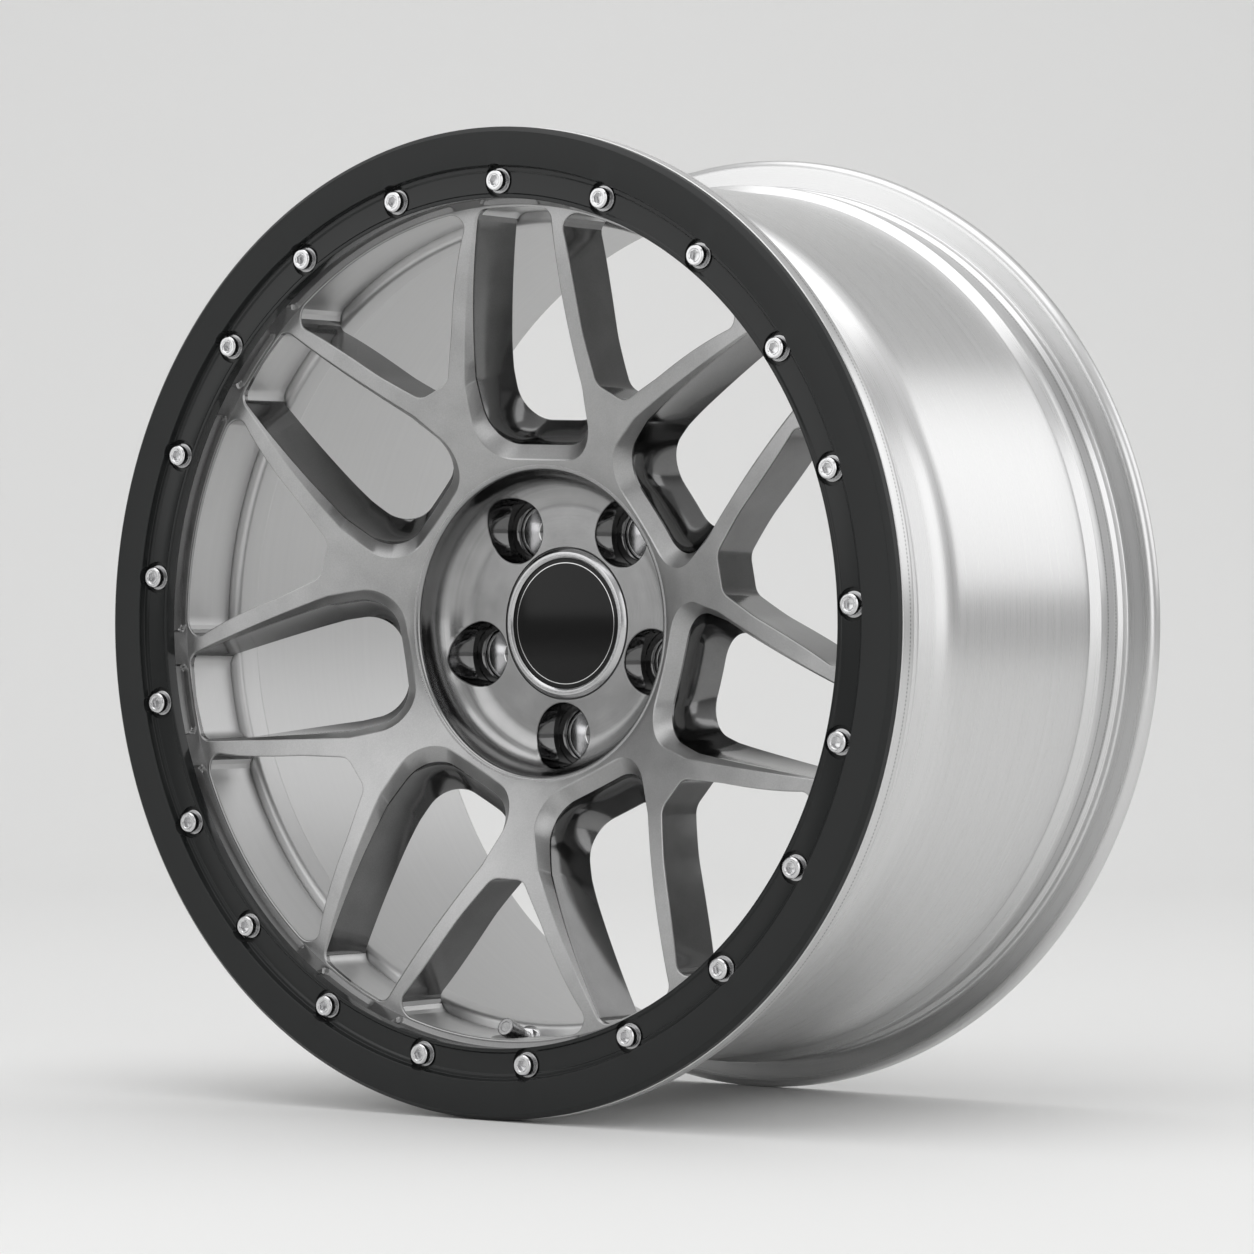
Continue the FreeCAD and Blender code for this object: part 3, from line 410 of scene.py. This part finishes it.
class Shell:
    """Points and faces of the disc, gathered piece by piece. New faces take the present finish."""

    def __init__(self):
        self.points, self.faces, self.finishes, self.finish = [], [], [], 0

    def ring(self, loop, depth_of, turn=0):
        """Add a loop of (x, z), turned round the axle, and give back its indices."""
        first = len(self.points)
        for i, spot in enumerate(loop):
            depth = depth_of(spot.length) if callable(depth_of) else depth_of[i]
            self.points.append(at(spot.length, math.atan2(spot.y, spot.x) + turn, depth))
        return list(range(first, len(self.points)))

    def circle(self, radius, depth, count, centre=(0, 0)):
        """Add a circle. The radius may be a function of the angle, the depth one of the radius."""
        spots = []
        for k in range(count):
            angle = 2 * math.pi * k / count
            r = radius(angle) if callable(radius) else radius
            spots.append(Vector((centre[0] + r * math.cos(angle), centre[1] + r * math.sin(angle))))
        return self.ring(spots, depth if callable(depth) else [depth] * count)

    def add(self, *face):
        self.faces.append(face)
        self.finishes.append(self.finish)

    def strips(self, rings):
        for a, b in zip(rings, rings[1:]):
            for i in range(len(a)):
                j = (i + 1) % len(a)
                self.add(a[i], a[j], b[j], b[i])

    def patch(self, loops, depth, inner, outer, spacing):
        """Fill between two circles, the first two loops, and leave the other loops open."""
        flat, origin, edges, holes, boxes = [], [], [], [], []
        for loop in loops:
            base = len(flat)
            flat += [self.points[i].xz for i in loop]
            origin += loop
            edges += [(base + i, base + (i + 1) % len(loop)) for i in range(len(loop))]
            holes.append(flat[base:])
            across, up = [p.x for p in holes[-1]], [p.y for p in holes[-1]]
            boxes.append((min(across), max(across), min(up), max(up)))

        def open_at(p, margin):
            if not inner + margin < p.length < outer - margin:
                return False
            for hole, (x0, x1, z0, z1) in zip(holes[2:], boxes[2:]):
                near = x0 - margin < p.x < x1 + margin and z0 - margin < p.y < z1 + margin
                if near and inside(p, hole, margin):
                    return False
            return True

        rows = int((outer - inner) / spacing)
        for i in range(1, rows):
            r = inner + (outer - inner) * i / rows
            count = int(2 * math.pi * r / spacing)
            for k in range(count):
                a = 2 * math.pi * (k + 0.5 * (i % 2)) / count
                spot = Vector((r * math.cos(a), r * math.sin(a)))
                if open_at(spot, spacing * 0.3):
                    flat.append(spot)
                    origin.append(len(self.points))
                    self.points.append(Vector((spot.x, depth(r) - HUB_DEPTH, spot.y)))
        made = delaunay_2d_cdt(flat, edges, [], 0, 1e-5)
        for face in made[2]:
            if open_at(sum((made[0][i] for i in face), Vector((0, 0))) / 3, 0):
                self.add(*(origin[made[3][i][0]] for i in face))


shell = Shell()
# The walls of the windows and the stud holes take a darker grey than the face, as painted shade in these
# hollows; their gloss is real.
FACE, WALLS_PAINTED_SHADE, SKIRT_INSIDE, RIM_WALL_PAINTED_SHADE = 0, 1, 2, 3
front_holes, back_holes = [], []
# Hub windows: a flat bevel that thins to a chamfer along the arms, then a scoop that falls, rolls
# out and ends in the edge at the back
BEVEL_PLANE, BEVEL_SLOPE = 82.8, 0.41
SCOOP_ROWS, SCOOP_ROLL = 18, 2.4
bevel_edge = hub_loop(37.5, 119, 82.8, 20, 23.3)
bevel_foot = hub_loop(33.5, 123.1, 91, 18, 22.6)
scoop_edge = hub_loop(26.5, 129.6, 104, 17, 22.2)
edge_depth = [dish(p.length) for p in bevel_edge]
foot_depth = [max(BEVEL_PLANE - BEVEL_SLOPE * p.y, dish(p.length) + (q - p).length)
              for p, q in zip(bevel_foot, bevel_edge)]
back_depth = [disc_back(p.length) for p in scoop_edge]
for k in range(SPOKES):
    turn = 2 * math.pi * k / SPOKES
    bevel = [shell.ring(spread_loop(bevel_edge, 0.3), dish, turn)]
    for share in (0.06, 0.94):
        loop = [a.lerp(b, share) for a, b in zip(bevel_edge, bevel_foot)]
        depths = [a + (b - a) * share + 0.05 for a, b in zip(edge_depth, foot_depth)]
        bevel.append(shell.ring(loop, depths, turn))
    scoop = [bevel[-1]]
    for i in range(SCOOP_ROWS + 1):
        fall = 0.02 + 0.96 * i / SCOOP_ROWS
        loop = [a.lerp(b, fall ** SCOOP_ROLL) for a, b in zip(bevel_foot, scoop_edge)]
        depths = [a + (b - a) * fall for a, b in zip(foot_depth, back_depth)]
        scoop.append(shell.ring(loop, depths, turn))
    scoop.append(shell.ring(spread_loop(scoop_edge, 0.3), [d - 0.3 for d in back_depth], turn))
    scoop.append(shell.ring(spread_loop(scoop_edge, 1.0), disc_back, turn))
    front_holes.append(bevel[0])
    back_holes.append(scoop[-1])
    shell.finish = FACE
    shell.strips(bevel)
    shell.finish = WALLS_PAINTED_SHADE
    shell.strips(scoop)

# Fork windows: straight walls with a small break on both edges, the front one in the finish of the face
BREAK, BREAK_MIDDLE, BREAK_DROP = 0.7, 0.22, 0.2
fork_edge = fork_loop()
front = [dish(p.length) for p in fork_edge]
back = [disc_back(p.length) for p in fork_edge]
for k in range(SPOKES):
    turn = 2 * math.pi * (k + 0.5) / SPOKES
    rings = [shell.ring(spread_loop(fork_edge, BREAK), dish, turn),
             shell.ring(spread_loop(fork_edge, BREAK_MIDDLE), [d + BREAK_DROP for d in front], turn)]
    for share in (0.0, 0.33, 0.66, 1.0):
        depths = [a + BREAK + (b - a - 2 * BREAK) * share for a, b in zip(front, back)]
        rings.append(shell.ring(fork_edge, depths, turn))
    rings.append(shell.ring(spread_loop(fork_edge, BREAK_MIDDLE), [d - BREAK_DROP for d in back], turn))
    rings.append(shell.ring(spread_loop(fork_edge, BREAK), disc_back, turn))
    front_holes.append(rings[0])
    back_holes.append(rings[-1])
    shell.finish = FACE
    shell.strips(rings[:3])
    shell.finish = WALLS_PAINTED_SHADE
    shell.strips(rings[2:])

# Stud holes: a counterbore that breaks into the bowl, the bore of the seat, and the hole itself
# The stud holes keep the finish of the walls, whose darker grey is painted shade.
STUDS, STUD_POINTS, STUD_CIRCLE = 5, 64, 57.15
SEAT_DEPTH = 99.5
bowl_holes, pad_holes = [], []
for k in range(STUDS):
    angle = FOOT + 2 * math.pi * k / STUDS
    centre = (STUD_CIRCLE * math.cos(angle), STUD_CIRCLE * math.sin(angle))
    rings = []
    for radius, depth in ((17.1, bowl), (16.7, lambda r: bowl(r) + 0.15), (16.5, lambda r: bowl(r) + 0.6),
                          (16.5, 87.4), (16.2, 88), (13.5, 88), (13.2, 88.3), (13.2, SEAT_DEPTH),
                          (7.3, SEAT_DEPTH), (7.3, HUB_DEPTH)):
        rings.append(shell.circle(radius, depth, STUD_POINTS, centre))
    bowl_holes.append(rings[0])
    pad_holes.append(rings[-1])
    shell.strips(rings)

# Wall of the rim: a cone up to the ring, with a shallow round-ended pocket milled outside every window
RIM_POINTS = 1344
POCKET_END, POCKET_ROUND, POCKET_EDGE = 16.4, 4, 0.5
pockets = []
for k in range(SPOKES):
    pockets += [(TOP + 2 * math.pi * k / SPOKES, math.radians(5)),
                (TOP + 2 * math.pi * (k + 0.5) / SPOKES, math.radians(16))]


def wall_radius(depth):
    """Radius of the wall at a depth, as a function of the angle."""
    cone = RIM + (RIM_DEPTH - depth) * 0.35
    floor = 212.8 + (POCKET_END - depth) * 0.13

    def radius(angle):
        for middle, half in pockets:
            off = abs(math.remainder(angle - middle, 2 * math.pi))
            beyond = max((off - half) * 211 + POCKET_ROUND, 0)
            gone = math.hypot(beyond, max(depth - POCKET_END + POCKET_ROUND, 0)) - POCKET_ROUND
            if gone < 0:
                return cone + (floor - cone) * min(-gone / POCKET_EDGE, 1)
        return cone

    return radius


# The wall of the rim takes a darker grey than the face, as painted shade under the ring.
shell.finish = RIM_WALL_PAINTED_SHADE
rim = shell.circle(RIM, RIM_DEPTH, RIM_POINTS)
wall = [rim]
for depth in (16.6, 16.35, 16.1, 15.8, 15.2, 14.4, 13.4, 12.2, 11, 10.1, 9.6):
    wall.append(shell.circle(wall_radius(depth), depth, RIM_POINTS))
skirt_end = shell.circle(SKIRT_OUTSIDE, SKIRT_END, RIM_POINTS)
for radius, depth in ((229, 9.6), (229, 15.4), (SKIRT_OUTSIDE, 15.4)):
    wall.append(shell.circle(radius, depth, RIM_POINTS))
shell.strips(wall + [skirt_end])

# Bowl, hub pad and the bore with its step for the cap
BOWL_POINTS = 280
BORE_FRONT, BORE_BACK = 39.2, 38.05
shell.finish = FACE
lip = shell.circle(LIP, dish, BOWL_POINTS)
bowl_wall = [lip]
for spot in fillet((81.5, 46), (77.5, 47.2), (77.5, 53), 2.6, 10):
    bowl_wall.append(shell.circle(spot.x, spot.y, BOWL_POINTS))
for degrees in range(90, 58, -4):
    angle = math.radians(degrees)
    cove_edge, depth = COVE_FOOT + COVE * math.sin(angle), PAD_DEPTH - COVE + COVE * math.cos(angle)
    bowl_wall.append(shell.circle(cove_edge, depth, BOWL_POINTS))
shell.strips(bowl_wall)
bore = []
for radius, depth in ((BORE_FRONT, PAD_DEPTH), (39.1, 72), (35.6, 72), (35.6, 88), (36.55, 88), (36.55, 101),
                      (BORE_BACK, HUB_DEPTH)):
    bore.append(shell.circle(radius, depth, BOWL_POINTS))
shell.strips(bore)
shell.patch([rim, lip] + front_holes, dish, LIP, RIM, 4)
shell.patch([bowl_wall[-1], bore[0]] + bowl_holes, bowl, BORE_FRONT, cove_edge, 1.6)
shell.patch([skirt_end, bore[-1]] + back_holes + pad_holes, disc_back, BORE_BACK, SKIRT_OUTSIDE, 6)
# Where the windows end on the skirt, the wall is bare turned metal like the barrel behind it
for i, face in enumerate(shell.faces):
    middle = sum((shell.points[j] for j in face), Vector()) / len(face)
    if shell.finishes[i] == WALLS_PAINTED_SHADE and middle.xz.length > 206.5 and middle.y + HUB_DEPTH > 20:
        shell.finishes[i] = SKIRT_INSIDE
disc = as_object("disc", shell.points, [], shell.faces)
disc.data.polygons.foreach_set("material_index", shell.finishes)
finish_mesh(disc)
cut(disc, on_valve("valve_notch", (0, 0.2), (8.5, 0.2), (8.5, 46), (0, 46)))
finish_mesh(disc, 15)


def gunmetal(name, colour, smooth, satin, grain_strength):
    """Smoked clear coat over brushed metal: a cloudy tone and a fine grain. The bowl of the hub is
    turned and glossier than the rest, and painted a little darker as shade in its hollow."""
    material, tree, shader = finish(name, (colour, colour, colour * 1.02), satin)
    grain, cloud = speckle(tree, 1500.0, 3.0), speckle(tree, 60.0, 4.0)
    lines = use(tree, LATHE)["Lines"]
    in_bowl = spread(tree, use(tree, POLAR)["Radius"], 0.084, 0.078, 0.0, 1.0)
    texture = blend(tree, in_bowl, grain, lines)
    tone = blend(tree, 0.5, texture, cloud)
    # Painted shade: the colour is a fifth darker in the recessed bowl of the hub
    darker = calc(tree, "MULTIPLY_ADD", in_bowl, -0.2, 1.0)
    shade = spread(tree, tone, 0.3, 0.7, colour * 0.85, colour * 1.15)
    grey(tree, shader, calc(tree, "MULTIPLY", shade, darker))
    glossier = calc(tree, "MULTIPLY_ADD", in_bowl, -0.42, 1.0)
    rough = spread(tree, tone, 0.3, 0.7, smooth, satin)
    tree.links.new(calc(tree, "MULTIPLY", rough, glossier), shader.inputs["Roughness"])
    relief(tree, shader, grain_strength, texture)
    return material


dress(disc, "centre_disc", "gunmetal_alloy", gunmetal("gunmetal_face", 0.4, 0.32, 0.42, 0.12),
      # Window and stud hole walls: a darker grey painted as shade, and glossier
      gunmetal("gunmetal_walls_painted_shade", 0.16, 0.11, 0.17, 0.02), turned_aluminium,
      # Wall of the rim: a darker grey painted as shade under the ring
      gunmetal("gunmetal_rim_painted_shade", 0.24, 0.28, 0.38, 0.05))


# Face ring: a turned alloy ring in satin black, with a gloss channel. It centres in the flange and
# clamps the disc, and each bolt stands in a round pocket of its own.
def repeat(obj, count):
    """Copy a piece evenly round the axle and join the copies to it."""
    copies = [obj]
    for k in range(1, count):
        select_only(obj)
        bpy.ops.object.duplicate()
        turn = 2 * math.pi * k / count
        bpy.ops.transform.rotate(value=turn, orient_axis="Y", center_override=(0, 0, 0))
        copies.append(bpy.context.object)
    select_only(*copies)
    bpy.ops.object.join()
    bpy.ops.object.transform_apply()


BOLTS, BOLT_CIRCLE = 21, 221
bolt_place = at(BOLT_CIRCLE, TOP, 0)
POCKET_RADIUS, POCKET_FLOOR = 8.25, 6.2
ring = turned("ring", rounded(
    (212.4, 9.5), (212.4, 3.4, 0.35), (214.2, 3.4, 0.3), (215, 4.2, 0.3), (225.1, 4.2, 0.3),
    (225.9, 3.4, 0.3), (227.7, 3.4, 0.3), (228.5, 0, 0.45), (245.3, 0, 0.4), (247.8, 2.5, 0.4),
    (247.8, 6), (229, 6), (229, 9.5)), 420)
pocket = turned("pocket", [(0, -2), (POCKET_RADIUS, -2), (POCKET_RADIUS, POCKET_FLOOR), (0, POCKET_FLOOR)],
                64, bolt_place)
repeat(pocket, BOLTS)
cut(ring, pocket)

black, tree, shader = finish("ring_black", (0.013, 0.014, 0.014), 0.4, 0.0)
shader.inputs["Specular IOR Level"].default_value = 0.3
grain = speckle(tree, 2200.0, 2.0)
satin = spread(tree, grain, 0.3, 0.7, 0.38, 0.44)
on_face = calc(tree, "GREATER_THAN", use(tree, POLAR)["Radius"], 0.2287)
tree.links.new(blend(tree, on_face, 0.13, satin), shader.inputs["Roughness"])
rounded_edges = add(tree, "ShaderNodeBevel", {"Radius": 0.0004}, samples=4)
relief(tree, shader, calc(tree, "MULTIPLY", on_face, 0.12), grain, Normal=rounded_edges)
dress(ring, "face_ring", "black_paint", black)

# Ring bolts: stainless cheese heads with a hexagon socket, through ring and disc into the barrel.
# Each is turned, and its socket is cut with a six-sided tool.
bolt = turned("bolts", rounded(
    (0, 0.6), (3.0, 0.6), (3.4, 0.2, 0.12), (4.6, 0.2, 0.3), (5.3, 0.9, 0.3), (5.3, 5, 0.2), (3.4, 5),
    (3.4, 30.2), (2.6, 31), (0, 31)), 48, bolt_place)
cut(bolt, turned("socket", [(0, -1), (2.89, -1), (2.89, 3.0), (0, 3.6)], 6, bolt_place))
repeat(bolt, BOLTS)


def steel(name, colour, smooth, rough):
    """Bright steel with a little handling haze."""
    material, tree, shader = finish(name, (colour, colour, colour * 1.01), smooth)
    haze = spread(tree, speckle(tree, 700.0, 4.0), 0.3, 0.7, smooth, rough)
    tree.links.new(haze, shader.inputs["Roughness"])
    return material


dress(bolt, "ring_bolts", "bright_steel", steel("stainless_steel", 0.66, 0.15, 0.22))

# Ring bolt washers: plain stainless washers, a little duller than the bolts, and given a darker grey as
# painted shade in the pockets. They lie under the heads, at the bottom of the pockets.
washer = turned("washers", rounded(
    (3.6, 5), (6.5, 5, 0.3), (6.5, POCKET_FLOOR, 0.3), (3.6, POCKET_FLOOR)), 48, bolt_place)
repeat(washer, BOLTS)
# Painted shade: the washers are a darker grey than the bolts, for the shade at the bottom of the pockets
dress(washer, "ring_bolt_washers", "bright_steel", steel("washer_steel_painted_shade", 0.4, 0.2, 0.28))

# Stud seats: steel sleeves with a turned 60 degree cone, pressed into the disc under the wheel nuts.
# The cone is bright from the cutter.
seat = turned("seats", rounded(
    (7.3, SEAT_DEPTH), (7.3, 98.9, 0.3), (11.6, 91.5, 0.2), (13, 91.5, 0.3), (13, SEAT_DEPTH)), 64,
    at(STUD_CIRCLE, FOOT, 0))
repeat(seat, STUDS)
dress(seat, "stud_seats", "bright_steel", steel("turned_steel", 0.74, 0.17, 0.22))


# Centre cap: a black moulding with sprung legs in the bore, a plain gloss disc with one fine silver
# line, and a polished bezel round it. The legs and their wire spring are out of sight.
def repaint(node, material):
    """Give a node that keeps its own mesh a better material."""
    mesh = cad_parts[node].data
    mesh.materials.clear()
    mesh.materials.append(material)


moulding, tree, shader = finish("cap_moulding", (0.02, 0.02, 0.02), 0.5, 0.0)
repaint("cap_body", moulding)
repaint("cap_spring", steel("spring_wire", 0.6, 0.25, 0.35))
PLATE_DEPTH = 70.8
badge = turned("badge", rounded((0, 69.6), (33.2, 69.6, 0.3), (33.2, PLATE_DEPTH), (0, PLATE_DEPTH)), 128)
LINE_RADIUS, LINE_HALF_WIDTH = 0.0309, 0.00018
BADGE_BLACK = 0.008
gloss, tree, shader = finish("badge_gloss", (BADGE_BLACK,) * 3, 0.1, 0.0)
shader.inputs["Specular IOR Level"].default_value = 0.2
line = calc(tree, "COMPARE", use(tree, POLAR)["Radius"], LINE_RADIUS, LINE_HALF_WIDTH)
grey(tree, shader, blend(tree, line, BADGE_BLACK, 0.7))
tree.links.new(line, shader.inputs["Metallic"])
dress(badge, "cap_badge", "badge_gloss", gloss)
bezel = turned("bezel", rounded(
    (33.4, PLATE_DEPTH), (33.4, 69.2, 0.2), (34.4, 68.4, 0.4), (36.4, 68.4, 0.8), (38.4, 70.2, 0.3),
    (38.4, PLATE_DEPTH)), 160)
dress(bezel, "cap_bezel", "polished_trim", steel("polished_trim", 0.55, 0.14, 0.22))

# Valve: a plated stem clamped with washer and nut through the wall of the well, with a rubber seal
# outside, a brass core inside, and a dark metal cap.
plated = steel("nickel_plate", 0.66, 0.16, 0.28)
for node in ("valve_stem", "valve_washer", "valve_nut"):
    repaint(node, plated)
rubber, tree, shader = finish("valve_rubber", (0.02, 0.02, 0.02), 0.7, 0.0)
repaint("valve_seal", rubber)
repaint("valve_core", steel("valve_brass", 0.55, 0.25, 0.35))
valve_cap = on_valve("valve_cap_piece", (0, 28.02), (4.2, 28.02), (4.2, 18), (4.7, 18, 0.2), (4.7, 29.5, 0.6),
                     (2.7, 29.5, 0.1), (2.5, 29.2), (0, 29.2))
dress(valve_cap, "valve_cap", "dark_alloy", steel("dark_cap", 0.28, 0.2, 0.34))

# Stage: a pale paper sweep, square to the camera, on which the wheel stands. An overhead lamp, a
# broad one in front and two at the right light the wheel, and one lights the paper behind it.
FLOOR_START, WALL_FOOT, BEND, WALL_TOP, HALF_WIDTH = -7000, 2200, 1200, 4500, 6000
paper, tree, shader = finish("backdrop_paper", (0.8, 0.8, 0.795), 0.9, 0.0)
sweep = [(FLOOR_START, 0)]
for degrees in range(0, 95, 5):
    angle = math.radians(degrees)
    sweep.append((WALL_FOOT + BEND * math.sin(angle), BEND - BEND * math.cos(angle)))
sweep.append((WALL_FOOT + BEND, WALL_TOP))
points = [(x, y, z - FLANGE) for y, z in sweep for x in (-HALF_WIDTH, HALF_WIDTH)]
faces = [(2 * i, 2 * i + 1, 2 * i + 3, 2 * i + 2) for i in range(len(sweep) - 1)]
backdrop = as_object("backdrop", points, [], faces)
finish_mesh(backdrop, 60)
backdrop.rotation_euler = (0, 0, math.radians(36.5))
backdrop.data.materials.append(paper)


def aim(obj, place, target):
    """Put a lamp or the camera at a place in metres and turn it to a target."""
    bpy.context.scene.collection.objects.link(obj)
    obj.location = place
    obj.rotation_euler = (Vector(target) - Vector(place)).to_track_quat("-Z", "Y").to_euler()


def softbox(name, place, target, width, height, power):
    """A rectangular lamp."""
    lamp = bpy.data.lights.new(name, "AREA")
    lamp.shape = "RECTANGLE"
    lamp.size, lamp.size_y = width, height
    lamp.energy = power
    aim(bpy.data.objects.new(name, lamp), place, target)


softbox("overhead", (0.0, -0.4, 2.4), (0, -0.4, 0), 2.8, 2.4, 22)
softbox("front_left", (-1.1, -2.85, 1.1), (0, 0, 0), 3.0, 2.2, 24)
softbox("rear_right", (1.6, 2.1, 1.0), (0, 0, 0), 1.8, 1.6, 8)
softbox("right", (2.5, -1.1, 0.8), (0, 0, 0), 2.0, 2.0, 14)
softbox("wall_wash", (-1.2, 1.6, 2.4), (-2.4, 3.2, 1.3), 3.0, 1.0, 11)
# The room is brighter behind the wheel and above it
world = bpy.data.worlds.new("studio")
bpy.context.scene.world = world
world.use_nodes = True
tree = world.node_tree
split = tree.nodes.new("ShaderNodeSeparateXYZ")
tree.links.new(tree.nodes.new("ShaderNodeTexCoord").outputs["Generated"], split.inputs[0])
x, y, z = split.outputs
behind = spread(tree, y, -0.5, 0.6, 0.28, 0.5)
above = spread(tree, z, 0.1, 0.8, 0.0, 0.4)
room = tree.nodes["Background"]
room.inputs["Color"].default_value = (1, 1, 1, 1)
tree.links.new(calc(tree, "ADD", behind, above), room.inputs["Strength"])

lens = bpy.data.cameras.new("camera")
lens.lens = 147.255
lens.sensor_width = 36
camera = bpy.data.objects.new("camera", lens)
aim(camera, (1.58234, -2.11732, -0.00379), (0.05734, -0.05747, -0.0019))
bpy.context.scene.camera = camera
bpy.context.scene.view_settings.view_transform = "Standard"
